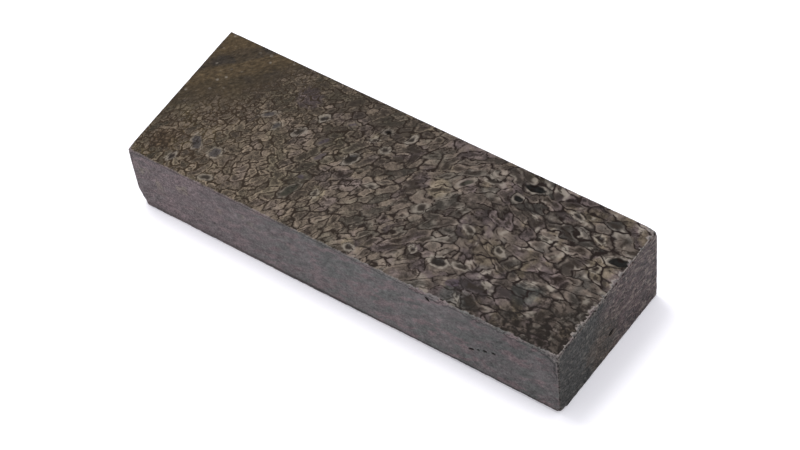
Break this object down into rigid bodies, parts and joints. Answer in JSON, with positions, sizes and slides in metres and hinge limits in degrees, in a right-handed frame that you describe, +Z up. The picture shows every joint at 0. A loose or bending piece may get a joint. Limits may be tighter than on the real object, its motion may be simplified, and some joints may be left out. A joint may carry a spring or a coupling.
{
  "type": "fossil dinosaur bone block",
  "caption": "Sawn rectangular block of agatised spongy dinosaur bone with one polished cellular face, lying on its broad sawn face.",
  "frame": {"origin": "middle of the bounding box in plan, at the height of the face that the block rests on", "axes": "+X along the block towards its coarse-celled end, +Y towards the far long side, +Z up through the polished face"},
  "size_m": [0.1264, 0.0456, 0.0252],
  "materials": {
    "fossil_bone": "polished on the upper face, matte as sawn elsewhere"
  },
  "bodies": {
    "root": {"bone_block": "fossil_bone"}
  },
  "joints": []
}
